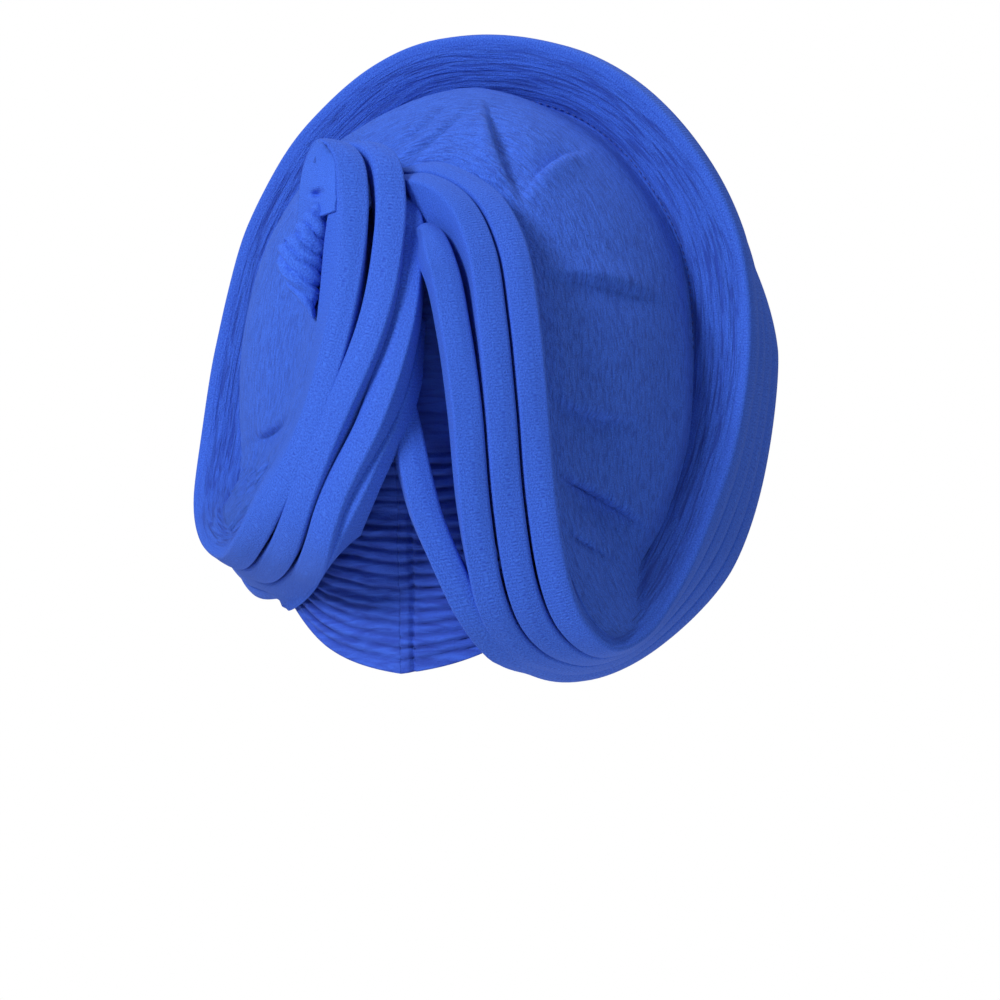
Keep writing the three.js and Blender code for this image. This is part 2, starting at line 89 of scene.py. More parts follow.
RIM = [
    {**PLAIN_RIM, **row}
    for row in (
        dict(side=-28, up=117, back=73, lean=-24, depth=20, reach=15),
        dict(side=-13, up=119, back=80, lean=-18, depth=20, reach=15, set3=32),
        dict(side=1, up=113, back=89, lean=-17, depth=20, reach=15, set3=13, shift3=1, shift4=2),
        dict(side=11, up=104, back=98, lean=-10, depth=22, reach=17, set3=8, shift3=1, shift4=4),
        dict(side=19, up=86, back=107, lean=-4, reach=16, set3=4, set4=40, shift3=2, shift4=7),
        dict(side=23, up=61, back=113, reach=14, set3=2, set4=30, shift3=1, shift4=8),
        dict(side=26, up=31, back=115, reach=13, set3=1, set4=20, shift3=0, shift4=7),
        dict(side=29, up=-4, back=113, lean=4, reach=11, set4=9, shift4=4),
        dict(side=34, up=-34, back=108, lean=13, reach=9, set4=2, shift4=-3),
        dict(side=40, up=-49, back=101, lean=24, depth=24, reach=6, shift4=-5),
        dict(side=50, up=-58, back=91, lean=33, depth=18, reach=5, shift4=-4),
        dict(side=62, up=-54, back=78, lean=29, depth=24, reach=8, shift4=-2),
        dict(side=75, up=-37, back=65, lean=18, reach=19),
        dict(side=87, up=-11, back=52, lean=5),
        dict(side=97, up=19, back=42, ease=1),
        dict(side=102, up=55, back=42, ease=1.5, dish=1),
        dict(side=97, up=97, back=40, ease=4, dish=3),
        dict(side=75, up=137, back=33, ease=4.4, dish=6),
        dict(side=45, up=163, back=22, ease=3, dish=9),
        dict(side=8, up=174, back=8, ease=1.5, dish=10),
        dict(side=-30, up=170, back=-6, ease=2, dish=9),
        dict(side=-66, up=144, back=-19, ease=3, dish=6),
        dict(side=-91, up=104, back=-28, ease=3, dish=2),
        dict(side=-104, up=56, back=-33, ease=1.5),
        dict(side=-110, up=18, back=-30, ease=1),
        dict(side=-111, up=-4, back=-12, lean=8, reach=23, slim4=2),
        dict(side=-106, up=-19, back=21, lean=29, reach=16, shift4=-2, slim4=5),
        dict(side=-95, up=-25, back=58, lean=38, reach=12, shift4=-4, slim4=6),
        dict(side=-87, up=-16, back=83, lean=26, reach=13, set4=1, shift4=-7, slim4=5),
        dict(side=-79, up=-3, back=97, lean=11, reach=12, brow=2, slim4=2,
             set4=3, shift2=-1, shift3=-1, shift4=-10),
        dict(side=-70, up=12, back=104, lean=2, reach=9, brow=4,
             set3=2, set4=6, shift2=-4, shift3=-5, shift4=-13),
        dict(side=-62, up=32, back=108, reach=9, brow=5,
             set3=4, set4=11, shift2=-3, shift3=-3, shift4=-13),
        dict(side=-54, up=62, back=111, lean=12, reach=9, brow=5,
             set3=5, set4=20, shift2=0.5, shift3=-3, shift4=-9),
        dict(side=-50, up=88, back=109, lean=24, depth=28, reach=9, brow=4.5,
             set3=6, set4=32, shift2=1.2, shift3=-4, shift4=-6),
        dict(side=-49, up=106, back=106, lean=30, depth=16, reach=8, brow=2.5,
             set3=8, set4=40, shift2=1.4, shift3=-4),
        dict(side=-51, up=120, back=102, lean=38, depth=9, reach=7,
             set3=30, shift2=1.2, shift3=-4),
        dict(side=-57, up=126, back=96, lean=52, depth=7, reach=5),
        dict(side=-62, up=120, back=89, lean=60, depth=8, reach=6),
        dict(side=-65, up=108, back=84, lean=64, depth=10, reach=8),
        dict(side=-66, up=95, back=80, lean=64, depth=12, reach=9),
    )
]
RIGHT_LOBE_ROW = 10
LEFT_LOBE_ROW = 27

# The brim's folds: the rows each one runs through, and over how many it thickens and thins
FOLDS = [
    dict(start=0, end=39, thickens=0.5, thins=0.5),
    dict(start=0.3, end=39, thickens=0.5, thins=0.5),
    dict(start=1.3, end=34.6, thickens=2.6, thins=1.1),
    dict(start=5.4, end=32.2, thickens=1.2, thins=1.3),
]
FOLD_PITCH = 12
FOLD_THICKNESS = 11
THIN_END = 0.3
NEAR_ROUNDING = 1.7
FAR_ROUNDING = 1.2
FACE_CROWN = 0.4
ROOT_REACH = 1.27
RING_LENGTH = 2.0
CORNER_STEPS = 7
FACE_STEPS = 8
SIDE_STEPS = 36
ROOT_STEPS = 3
ROOT_LEAST = 5
ROOT_STEP = 1
ROOT_EVENNESS = 6
BROW_DROP = 1.2
BROW_FLATNESS = 0.2
INNER_NEAR_ROOT = 17
INNER_FAR_ROOT = 9
INNER_CLEAR = (92, 106)
FOLD_LIFT = 2.6
HEM_BLEND = (-8, 2)

# The crown panel
PANEL_TUCK = 1.2
PANEL_LIFT = 5.2
PANEL_EDGE_LIFT = 3.1
PANEL_FREE = 15
PANEL_ROUGHNESS = 0.6
LOBE_END = 0.15
PANEL_SEAT = 3
LEG_SEAT = 14
PANEL_PUFF = 2.2
GROOVE_DEPTH = 0.9
GROOVE_WIDTH = 1.8
PANEL_WALL = 1.2
PANEL_STEPS_ALONG = 420
PANEL_STEPS_ACROSS = 84
EDGE_SAMPLES = 12

# The cap
CAP_WALL = 1.2
CAP_COLUMNS = 290
NAPE_CROWDING = 0.6
BAND_ROWS = 140
DOME_ROWS = 26
DOME_TOP_RISE = 89
RUCHE_PITCH = 4.4
RUCHE_DEPTH = 1.8
SEAM_TURN = math.radians(-3.3)
SEAM_DEPTH = 2.0
SEAM_WIDTH = 1.0
HEM_ROLL = 0.9
HEM_WIDTH = 2.6

# The brim sits askew on the head: its own axes are turned about the upright
TIE_TURN = math.radians(20)
SIDE = Vector((-math.cos(TIE_TURN), -math.sin(TIE_TURN), 0))
UP = Vector((0, 0, 1))
BACK = Vector((-math.sin(TIE_TURN), math.cos(TIE_TURN), 0))


def smoothstep(value, low, high):
    share = min(max((value - low) / (high - low), 0), 1)
    return share * share * (3 - 2 * share)


def column_at(table, column, position):
    """A cubic through the rows of a table, read at a fractional row."""
    last = len(table) - 1
    row = min(max(math.floor(position), 0), last - 1)
    share = position - row
    before, start, end, after = (
        table[min(max(row + step, 0), last)][column] for step in (-1, 0, 1, 2)
    )
    leaving, arriving = (end - before) / 2, (after - start) / 2
    square, cube = share * share, share**3
    return (
        (2 * cube - 3 * square + 1) * start
        + (cube - 2 * square + share) * leaving
        + (3 * square - 2 * cube) * end
        + (cube - square) * arriving
    )


def row_of(table, column, value):
    """The fractional row at which a rising column reaches a value."""
    for row in range(1, len(table)):
        low, high = table[row - 1][column], table[row][column]
        if high > value:
            return max(row - 1 + (value - low) / (high - low), 0)
    return len(table) - 1


def head_radius(turn, rise):
    row = row_of(HEAD_FORM, "rise", rise)
    end = column_at(HEAD_FORM, "back" if math.cos(turn) > 0 else "front", row)
    return 1 / math.hypot(math.cos(turn) / end, math.sin(turn) / column_at(HEAD_FORM, "side", row))


def on_head(turn, rise):
    """The head form's point at a turn from the nape in radians and a rise in degrees."""
    r = math.radians(rise)
    ray = Vector((math.sin(turn) * math.cos(r), math.cos(turn) * math.cos(r), math.sin(r)))
    return HEAD_CENTRE + ray * head_radius(turn, rise)


def head_point(turn, rise, lift=0):
    step = math.radians(1)
    along = on_head(turn + step, rise) - on_head(turn - step, rise)
    over = on_head(turn, rise + 1) - on_head(turn, rise - 1)
    return on_head(turn, rise) + over.cross(along).normalized() * lift


def cap_edge(turn, column):
    from_nape = abs(math.degrees(math.remainder(turn, 2 * math.pi)))
    return column_at(CAP_EDGES, column, row_of(CAP_EDGES, "turn", from_nape))


def rise_of_height(turn, height):
    low, high = -59, 80
    for _ in range(20):
        middle = (low + high) / 2
        if on_head(turn, middle).z < height:
            low = middle
        else:
            high = middle
    return low


def clear_of_head(point, lift, softness=3.0):
    """Moves a point out from the head's centre until it clears the form, with a soft meeting."""
    ray = point - HEAD_CENTRE
    length = ray.length
    least = head_radius(math.atan2(ray.x, ray.y), math.degrees(math.asin(ray.z / length))) + lift
    over = (length - least) / softness
    if over > 8:
        return point
    clear = least + softness * math.log1p(math.exp(over)) if over > -30 else least
    return HEAD_CENTRE + ray * (clear / length)


def seat_on_cap(point, lift):
    """Keeps a point outside the cap, and leaves it alone below the hem."""
    turn = math.atan2(point.x, point.y)
    share = smoothstep(point.z - cap_edge(turn, "hem"), *HEM_BLEND)
    return point.lerp(clear_of_head(point, lift), share)


def tie_point(row):
    return SIDE * row["side"] + UP * row["up"] + BACK * row["back"]


RIM_POINTS = [tie_point(row) for row in RIM]


def rim_at(position):
    """The rim's point and tangent: a centripetal spline through the rows."""
    last = len(RIM_POINTS) - 1
    row = min(int(position), last - 1)
    share = position - row
    start, end = RIM_POINTS[row], RIM_POINTS[row + 1]
    before = RIM_POINTS[row - 1] if row > 0 else start * 2 - end
    after = RIM_POINTS[row + 2] if row + 2 <= last else end * 2 - start
    d0, d1, d2 = ((b - a).length ** 0.5 for a, b in ((before, start), (start, end), (end, after)))
    leaving = (start - before) / d0 - (end - before) / (d0 + d1) + (end - start) / d1
    arriving = (end - start) / d1 - (after - start) / (d1 + d2) + (after - end) / d2
    leaving, arriving = leaving * d1, arriving * d1
    square = (end - start) * 3 - leaving * 2 - arriving
    cube = (start - end) * 2 + leaving + arriving
    point = start + leaving * share + square * share**2 + cube * share**3
    tangent = leaving + square * (2 * share) + cube * (3 * share**2)
    return point, tangent.normalized()


class RimFrame:
    """The rim at a fractional row: out runs from a fold's root to its rim, stack along the folds."""

    def __init__(self, position):
        self.position = position
        self.point, tangent = rim_at(position)
        out = self.point - HEAD_CENTRE
        out = (out - tangent * out.dot(tangent)).normalized()
        out.rotate(Matrix.Rotation(math.radians(column_at(RIM, "lean", position)), 3, tangent))
        self.out = out
        self.stack = tangent.cross(out).normalized()

    def at(self, across, inward):
        return self.point + self.stack * across - self.out * inward

    def column(self, name):
        return column_at(RIM, name, self.position)


# Meshes

def cloth_mesh(name, rows, columns, place, wrap=False):
    """A grid of cloth, each corner put where place(row, column) says: a point, its place on
    the flat cloth and how slack the cloth is there (on the cap, how deep in a valley it lies), which also weights the
    painted shade in the cloth's valleys. A wrapped grid is closed into a tube."""
    bm = bmesh.new()
    bmesh.ops.create_grid(bm, x_segments=rows, y_segments=columns, size=0.5)
    flat = bm.loops.layers.uv.new("cloth")
    slack = bm.verts.layers.float.new("slack")
    spots = {}
    for vert in bm.verts:
        row = round((vert.co.x + 0.5) * rows)
        column = round((vert.co.y + 0.5) * columns)
        point, spots[vert], vert[slack] = place(row, column)
        vert.co = point * MM
    for face in bm.faces:
        for loop in face.loops:
            loop[flat].uv = [length * MM for length in spots[loop.vert]]
    if wrap:
        bmesh.ops.remove_doubles(bm, verts=bm.verts, dist=1e-6)
        bmesh.ops.holes_fill(bm, edges=[edge for edge in bm.edges if edge.is_boundary])
    bmesh.ops.recalc_face_normals(bm, faces=bm.faces)
    for face in bm.faces:
        face.smooth = True
    mesh = bpy.data.meshes.new(name)
    bm.to_mesh(mesh)
    bm.free()
    piece = bpy.data.objects.new(name, mesh)
    bpy.context.scene.collection.objects.link(piece)
    return piece


def finish_piece(piece, material, slot, *nodes):
    piece.data.materials.append(material)
    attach(piece, "root")
    if nodes:
        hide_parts(*nodes)


# The folds of the brim

def root_of_side(rim, across, draw, depth):
    """How far in one side of a fold reaches before it meets the cap."""
    root = depth * ROOT_REACH
    inward = ROOT_LEAST
    while inward < root:
        point = rim.at(across, draw + inward)
        ray = point - HEAD_CENTRE
        rise = math.degrees(math.asin(ray.z / ray.length))
        if ray.length < head_radius(math.atan2(ray.x, ray.y), rise) + FOLD_LIFT:
            break
        inward += ROOT_STEP
    return min(inward, root)


def fold_thickness(fold, rim):
    """A fold's thickness, less where it comes out from behind its neighbour."""
    run = FOLDS[fold]
    full = FOLD_THICKNESS - (rim.column("slim4") if fold == 3 else 0)
    grown = smoothstep(rim.position - run["start"], 0, run["thickens"])
    grown *= smoothstep(run["end"] - rim.position, 0, run["thins"])
    return full * (THIN_END + (1 - THIN_END) * grown)


def fold_outline(near_root, far_root, thick, brow):
    """The closed outline of a padded fold as (across, inward) pairs. A brow is a bevel that
    stands out from the near corner."""
    near, far = NEAR_ROUNDING, FAR_ROUNDING
    wide, drop = near + brow, near + brow * BROW_DROP
    power = 1 + BROW_FLATNESS * brow
    outline = []
    for step in range(SIDE_STEPS):
        outline.append((-brow, near_root + (drop - near_root) * step / SIDE_STEPS))
    for step in range(CORNER_STEPS):
        angle = math.pi / 2 * step / CORNER_STEPS
        across = wide * (1 - math.cos(angle) ** power)
        outline.append((across - brow, drop * (1 - math.sin(angle) ** power)))
    for step in range(FACE_STEPS):
        share = step / FACE_STEPS
        across = near + (thick - near - far) * share
        outline.append((across, -FACE_CROWN * math.sin(math.pi * share)))
    for step in range(CORNER_STEPS):
        angle = math.pi / 2 * step / CORNER_STEPS
        outline.append((thick - far + far * math.sin(angle), far - far * math.cos(angle)))
    for step in range(SIDE_STEPS):
        outline.append((thick, far + (far_root - far) * step / SIDE_STEPS))
    for step in range(ROOT_STEPS + 1):
        share = step / ROOT_STEPS
        across = thick - (thick + brow) * share
        outline.append((across, far_root + (near_root - far_root) * share))
    return outline


def fold_place(fold, rim):
    """How far along the stack a fold lies at a frame of the rim, and how far it is drawn in."""
    shift = rim.column(f"shift{fold + 1}") if fold > 0 else 0
    draw = rim.column(f"set{fold + 1}") if fold > 1 else 0
    return fold * FOLD_PITCH + shift, fold * rim.column("ease") + draw


def even_rows(start, end, spacing):
    """Fractional rows of the rim about one spacing apart."""
    rows = []
    for row in range(len(RIM) - 1):
        steps = max(round((RIM_POINTS[row + 1] - RIM_POINTS[row]).length / spacing), 1)
        rows.extend(row + step / steps for step in range(steps))
    return [start, *(row for row in rows if start < row < end), end]


def crinkle(along, across, seed):
    """Height of the crinkled cloth: long wavering ridges that run along it."""
    ridges = noise.noise(Vector((along / 26, across / 2.6, seed)))
    swells = noise.noise(Vector((along / 45, across / 9, seed + 7)))
    return 0.32 * ridges + 0.45 * swells


def evened(values):
    """Each value's least neighbour, averaged, so that roots run evenly along a fold."""
    least = [min(values[max(i - ROOT_EVENNESS, 0) : i + ROOT_EVENNESS + 1]) for i in range(len(values))]
    spans = [least[max(i - ROOT_EVENNESS, 0) : i + ROOT_EVENNESS + 1] for i in range(len(values))]
    return [sum(span) / len(span) for span in spans]


def leg_share(rim):
    """1 on the two legs, 0 round the crown, with a row between them at each lobe."""
    right = 1 - smoothstep(rim.position, RIGHT_LOBE_ROW, RIGHT_LOBE_ROW + 1)
    return max(right, smoothstep(rim.position, LEFT_LOBE_ROW - 1, LEFT_LOBE_ROW))


def fold_roots(fold, rims, places, thicks):
    """How far in the near and the far side of a fold reach, ring by ring. The near side of the
    first fold goes just past the crown panel's edge, which covers it. At the nape the two inner
    folds are shallow and stand clear of the cap, so the fork between the legs is deep."""
    depths = [rim.column("depth") for rim in rims]
    near = [
        root_of_side(rim, offset, draw, depth)
        for rim, (offset, draw), depth in zip(rims, places, depths)
    ]
    far = [
        root_of_side(rim, offset + thick, draw, depth)
        for rim, (offset, draw), depth, thick in zip(rims, places, depths, thicks)
    ]
    if fold == 0:
        near = [rim.column("reach") + PANEL_SEAT + LEG_SEAT * leg_share(rim) for rim in rims]
        return [min(a, depth * ROOT_REACH) for a, depth in zip(near, depths)], evened(far)
    near, far = evened(near), evened(far)
    if fold > 1:
        shares = [smoothstep(rim.point.dot(BACK), *INNER_CLEAR) for rim in rims]
        near = [a + (min(a, INNER_NEAR_ROOT) - a) * share for a, share in zip(near, shares)]
        far = [a + (min(a, INNER_FAR_ROOT) - a) * share for a, share in zip(far, shares)]
    return near, far


def dish_at(rim, inward):
    """How far the first fold's face falls away by the time it reaches the stitched circle."""
    return rim.column("dish") * min(max(inward / rim.column("reach"), 0), 1.2) ** 2


def make_fold(fold):
    run_rows = even_rows(FOLDS[fold]["start"], FOLDS[fold]["end"], RING_LENGTH)
    rims = [RimFrame(row) for row in run_rows]
    places = [fold_place(fold, rim) for rim in rims]
    thicks = [fold_thickness(fold, rim) for rim in rims]
    brows = [rim.column("brow") if fold == 0 else 0 for rim in rims]
    near_roots, far_roots = fold_roots(fold, rims, places, thicks)
    outlines = [
        fold_outline(*sizes) for sizes in zip(near_roots, far_roots, thicks, brows)
    ]
    run = [0]
    for before, rim in zip(rims, rims[1:]):
        run.append(run[-1] + (rim.point - before.point).length)
    middle = SIDE_STEPS + CORNER_STEPS + FACE_STEPS / 2
    last_column = len(outlines[0]) - 1

    def place(row, column):
        rim = rims[row]
        across, inward = outlines[row][column]
        offset, draw = places[row]
        facing = fold == 0 and column % last_column < SIDE_STEPS
        slack = smoothstep(inward, 1, 7) if facing else 0
        relief = crinkle(run[row], inward, fold) * slack
        if facing:
            past_seam = inward - rim.column("reach") + STITCH_INSET
            relief -= GROOVE_DEPTH * math.exp(-((past_seam / GROOVE_WIDTH) ** 2))
            relief -= dish_at(rim, inward)
        breath = 0.35 * noise.noise(Vector((run[row] / 30, across / 6, fold)))
        point = rim.at(offset + across - relief, draw + inward - breath)
        point = seat_on_cap(point, FOLD_LIFT)
        around = across - inward if column < middle else across + inward
        return point, (run[row], around), slack

    name = f"padded_fold_{fold + 1}"
    piece = cloth_mesh(name, len(rims) - 1, last_column, place, wrap=True)
    return piece


# The crown panel

def panel_edge(rows):
    rims = [RimFrame(row) for row in rows]
    insets = [PANEL_TUCK + rim.column("dish") - rim.column("brow") for rim in rims]
    return [rim.at(inset, rim.column("reach")) for rim, inset in zip(rims, insets)]


def spaced(points, count):
    """Points evenly spaced along a line of points, both ends included."""
    run = [0]
    for before, point in zip(points, points[1:]):
        run.append(run[-1] + (point - before).length)
    found = []
    segment = 0
    for index in range(count + 1):
        wanted = run[-1] * index / count
        while segment < len(points) - 2 and run[segment + 1] < wanted:
            segment += 1
        share = (wanted - run[segment]) / (run[segment + 1] - run[segment])
        found.append(points[segment].lerp(points[segment + 1], min(share, 1)))
    return found


def stretch_of_rows(start, end):
    count = round(abs(end - start) * EDGE_SAMPLES)
    return [start + (end - start) * index / count for index in range(count + 1)]


# Lips in the panel as seen from behind: the cloth steps from one height to another across a
# curve, left and right being those of a walk from its start to its end
PANEL_LIPS = [
    dict(start=(13, 106), bend=(5, 120), end=(3, 138), left=3.2, right=-6.5, wide=8),
    dict(start=(19, 108), bend=(26, 118), end=(36, 122), left=-2.4, right=2.8, wide=7),
    dict(start=(28, 75.5), bend=(46, 75), end=(63, 69.5), left=2.2, right=-2.2, wide=7),
    dict(start=(26, 33), bend=(38, 27), end=(53, 26), left=2.0, right=-2.4, wide=7),
    dict(start=(28, 6), bend=(44, 0), end=(58, -11), left=2.2, right=-4.4, wide=10),
    dict(start=(30, -14), bend=(38, -16), end=(46, -24), left=1.6, right=-2.0, wide=5),
    dict(start=(-79, 20), bend=(-74, 21), end=(-68, 26), left=1.2, right=-3.0, wide=5),
    dict(start=(-79, 3), bend=(-76, 7), end=(-75, 12), left=1.2, right=-3.0, wide=2.4),
    dict(start=(-85, -3), bend=(-85, 1), end=(-84, 5), left=1.2, right=-2.4, wide=2.2),
    dict(start=(-81, -2), bend=(-81, 4), end=(-80, 9), left=1.0, right=-2.6, wide=2.2),
    dict(start=(-30, 116), bend=(-16, 124), end=(-4, 139), left=1.0, right=-1.2, wide=3),
    dict(start=(-28, 124), bend=(-20, 130), end=(-12, 141), left=0.9, right=-1.1, wide=3),
]
PANEL_CRUMPLES = [
    dict(side=40, up=-20, reach=13, height=1.4),
    dict(side=47, up=-2, reach=12, height=0.8),
    dict(side=-80, up=6, reach=11, height=1.5),
    dict(side=8, up=120, reach=12, height=0.8),
]
LIP_SAMPLES = 24
LIP_EDGE = 1.4
CRUMPLE_GRAIN = 4.5


def curve_through(start, bend, end, count):
    """Points along the quadratic curve that starts, bends towards the middle point and ends."""
    points = []
    for index in range(count + 1):
        share = index / count
        first = Vector(start).lerp(Vector(bend), share)
        points.append(first.lerp(Vector(bend).lerp(Vector(end), share), share))
    return points


def lip_height(lip, line, spot):
    """How far a lip lifts the cloth at a spot seen from behind."""
    if min((point - spot).length for point in (line[0], line[LIP_SAMPLES // 2], line[-1])) > 40:
        return 0
    nearest = min(range(1, LIP_SAMPLES), key=lambda index: (line[index] - spot).length)
    along = (line[nearest + 1] - line[nearest - 1]).normalized()
    away = spot - line[nearest]
    beside = along.x * away.y - along.y * away.x
    past_end = max(abs(away.dot(along)) - 2, 0)
    fade = math.exp(-((beside / lip["wide"]) ** 2) - (past_end / 3) ** 2)
    fade *= math.sin(math.pi * nearest / LIP_SAMPLES) ** 0.6
    left = smoothstep(beside, -LIP_EDGE, LIP_EDGE)
    return fade * (lip["right"] + (lip["left"] - lip["right"]) * left)


def panel_relief(point):
    spot = Vector((point.dot(SIDE), point.dot(UP)))
    height = sum(lip_height(lip, line, spot) for lip, line in zip(PANEL_LIPS, LIP_LINES))
    for crumple in PANEL_CRUMPLES:
        away = (spot - Vector((crumple["side"], crumple["up"]))).length / crumple["reach"]
        if away < 3:
            wave = noise.noise(point / CRUMPLE_GRAIN) + 0.5 * noise.noise(point / CRUMPLE_GRAIN * 2.1)
            height += crumple["height"] * math.exp(-away * away) * wave
    return height


LIP_LINES = [
    curve_through(lip["start"], lip["bend"], lip["end"], LIP_SAMPLES) for lip in PANEL_LIPS
]


def make_panel():
    outer_rows = stretch_of_rows(RIGHT_LOBE_ROW + LOBE_END, LEFT_LOBE_ROW - LOBE_END)
    legs = (
        stretch_of_rows(RIGHT_LOBE_ROW - LOBE_END, 0),
        stretch_of_rows(39, LEFT_LOBE_ROW + LOBE_END),
    )
    outer = spaced(panel_edge(outer_rows), PANEL_STEPS_ALONG)
    inner_line = [point for leg in legs for point in panel_edge(leg)]
    inner = spaced(inner_line, PANEL_STEPS_ALONG)
    length = sum((b - a).length for a, b in zip(outer, outer[1:]))

    def place(row, column):
        along, across = row / PANEL_STEPS_ALONG, column / PANEL_STEPS_ACROSS
        point = inner[row].lerp(outer[row], across)
        reach = (outer[row] - inner[row]).length
        from_edge = min(across, 1 - across) * reach
        free = smoothstep(from_edge, 0, PANEL_FREE)
        rough = PANEL_ROUGHNESS * crinkle(along * length, across * reach, 3)
        point = clear_of_head(point, PANEL_EDGE_LIFT + (PANEL_LIFT - PANEL_EDGE_LIFT) * free)
        height = (panel_relief(point) + PANEL_PUFF + rough) * free
        point = point + (point - HEAD_CENTRE).normalized() * height
        return clear_of_head(point, PANEL_EDGE_LIFT), (along * length, across * reach), 1

    piece = cloth_mesh("crown_cloth", PANEL_STEPS_ALONG, PANEL_STEPS_ACROSS, place)
    add_wall(piece, PANEL_WALL)
    return piece


def add_wall(piece, thickness):
    """Gives cloth its thickness, on the side away from the eye."""
    wall = piece.modifiers.new("wall", "SOLIDIFY")
    wall.thickness = thickness * MM
    wall.offset = -1
    return piece


# The stitched circle

STITCH_PITCH = 3.0
STITCH_LENGTH = 2.1
STITCH_THICKNESS = 0.55
STITCH_SINK = 0.3
STITCH_INSET = 2.4


def make_stitches():
    """Small running stitches in the groove between the first fold and the crown panel."""
    rows = stretch_of_rows(RIGHT_LOBE_ROW + 2.6, LEFT_LOBE_ROW - 1.6)
    rims = [RimFrame(row) for row in rows]
    reaches = [rim.column("reach") - STITCH_INSET for rim in rims]
    seam = [
        rim.at(STITCH_SINK + dish_at(rim, reach), reach) for rim, reach in zip(rims, reaches)
    ]
    seam = [seat_on_cap(point, FOLD_LIFT) for point in seam]
    count = round(sum((b - a).length for a, b in zip(seam, seam[1:])) / STITCH_PITCH)
    places = spaced(seam, count)
    size = Matrix.Diagonal((STITCH_LENGTH / 2, STITCH_THICKNESS / 2, STITCH_THICKNESS / 2, 1))
    bm = bmesh.new()
    for place, after in zip(places, places[1:]):
        turn = (after - place).to_track_quat("X", "Z").to_matrix().to_4x4()
        stitch = Matrix.Scale(MM, 4) @ Matrix.Translation(place) @ turn @ size
        bmesh.ops.create_icosphere(bm, subdivisions=1, radius=1, matrix=stitch)
    for face in bm.faces:
        face.smooth = True
    mesh = bpy.data.meshes.new("stitched_circle")
    bm.to_mesh(mesh)
    bm.free()
    piece = bpy.data.objects.new("stitched_circle", mesh)
    bpy.context.scene.collection.objects.link(piece)
    return piece


# The curl at the top of the left leg

CURL_TOP_ROW = 35.6
CURL_END_ROW = 39
CURL_LEG_ROW = 33.6
CURL_ROWS = 110
CURL_COLUMNS = 60
CURL_PUFF = 3.0
CURL_SLACK = 0.15
CURL_HOLE = Vector((-57, 106))
CURL_HOLE_SIZE = Vector((2.2, 1.3))
CURL_HOLE_DEPTH = 5


def make_curl():
    """The cloth drawn across the curl, from its turned-over edge to the leg, with the small
    hole that the gathering leaves above the tuft."""

    def place(row, column):
        down, across = row / CURL_ROWS, column / CURL_COLUMNS
        edge = RimFrame(CURL_TOP_ROW + (CURL_END_ROW - CURL_TOP_ROW) * down)
        leg = RimFrame(CURL_TOP_ROW + (CURL_LEG_ROW - CURL_TOP_ROW) * down)
        point = edge.at(0.4, 0.8).lerp(leg.at(-0.4 * leg.column("brow"), 1.0), across)
        spot = Vector((point.dot(SIDE), point.dot(UP))) - CURL_HOLE
        hole = math.exp(-((spot.x / CURL_HOLE_SIZE.x) ** 2) - (spot.y / CURL_HOLE_SIZE.y) ** 2)
        width = (edge.point - leg.point).length
        lines = 0.2 * noise.noise(Vector((across * width / 2.2, down * 2, 4)))
        puff = CURL_PUFF * math.sin(math.pi * across) * min(width / 8, 1)
        point = point + BACK * (puff + lines - CURL_HOLE_DEPTH * hole)
        return point, (down * 60, across * width), CURL_SLACK

    piece = cloth_mesh("curl_facing", CURL_ROWS, CURL_COLUMNS, place)
    add_wall(piece, PANEL_WALL)
    return piece


# The gathered tuft

TUFT_SECTIONS = [
    dict(side=-55.0, up=105, back=96, wide=1.2, thick=3),
    dict(side=-57.4, up=99, back=96, wide=4.8, thick=5),
    dict(side=-59.1, up=92.6, back=96, wide=6.4, thick=6),
    dict(side=-62.3, up=86, back=96, wide=8.6, thick=7),
    dict(side=-62.3, up=75.4, back=97, wide=7.4, thick=7),
    dict(side=-60.4, up=69, back=98, wide=5.0, thick=6),
    dict(side=-58.2, up=61, back=99, wide=1.4, thick=4),
]
TUFT_ROWS = 150
TUFT_COLUMNS = 150
TUFT_PLEAT = 6.6
TUFT_SLANT = 0.8
TUFT_PLEAT_DEPTH = 1.9
TUFT_SLACK = 0.35


def make_tuft():
    """A puff of gathered cloth with pleats that slant down towards the leg; where the pleats
    meet its free edge they leave scallops."""
    last = len(TUFT_SECTIONS) - 1

    def place(row, column):
        position = last * row / TUFT_ROWS
        section = {name: column_at(TUFT_SECTIONS, name, position) for name in TUFT_SECTIONS[0]}
        angle = 2 * math.pi * column / TUFT_COLUMNS
        closing = math.sin(math.pi * min(max(row / TUFT_ROWS, 0.004), 0.996)) ** 0.4
        ring = SIDE * (section["wide"] * math.cos(angle)) + BACK * (section["thick"] * math.sin(angle))
        point = tie_point(section) + ring * closing
        slant = point.dot(UP) + TUFT_SLANT * point.dot(SIDE)
        wander = 1.1 * noise.noise(point / 9) + 0.15 * noise.noise(point / 2.5)
        pleat = abs(math.sin(math.pi * slant / TUFT_PLEAT + wander)) ** 0.8 - 0.5
        small = noise.noise(Vector((slant / 1.2, angle * 1.5, 2)))
        point += ring.normalized() * ((TUFT_PLEAT_DEPTH * pleat + 0.6 * small) * closing)
        return point, (position * 8, angle * section["wide"]), TUFT_SLACK

    piece = cloth_mesh("gathered_cloth", TUFT_ROWS, TUFT_COLUMNS, place, wrap=True)
    return piece


# The cap

def from_seam(turn):
    """Millimetres around the cap from the back seam, more than nothing on the wearer's left."""
    return math.remainder(turn - SEAM_TURN, 2 * math.pi) * 88


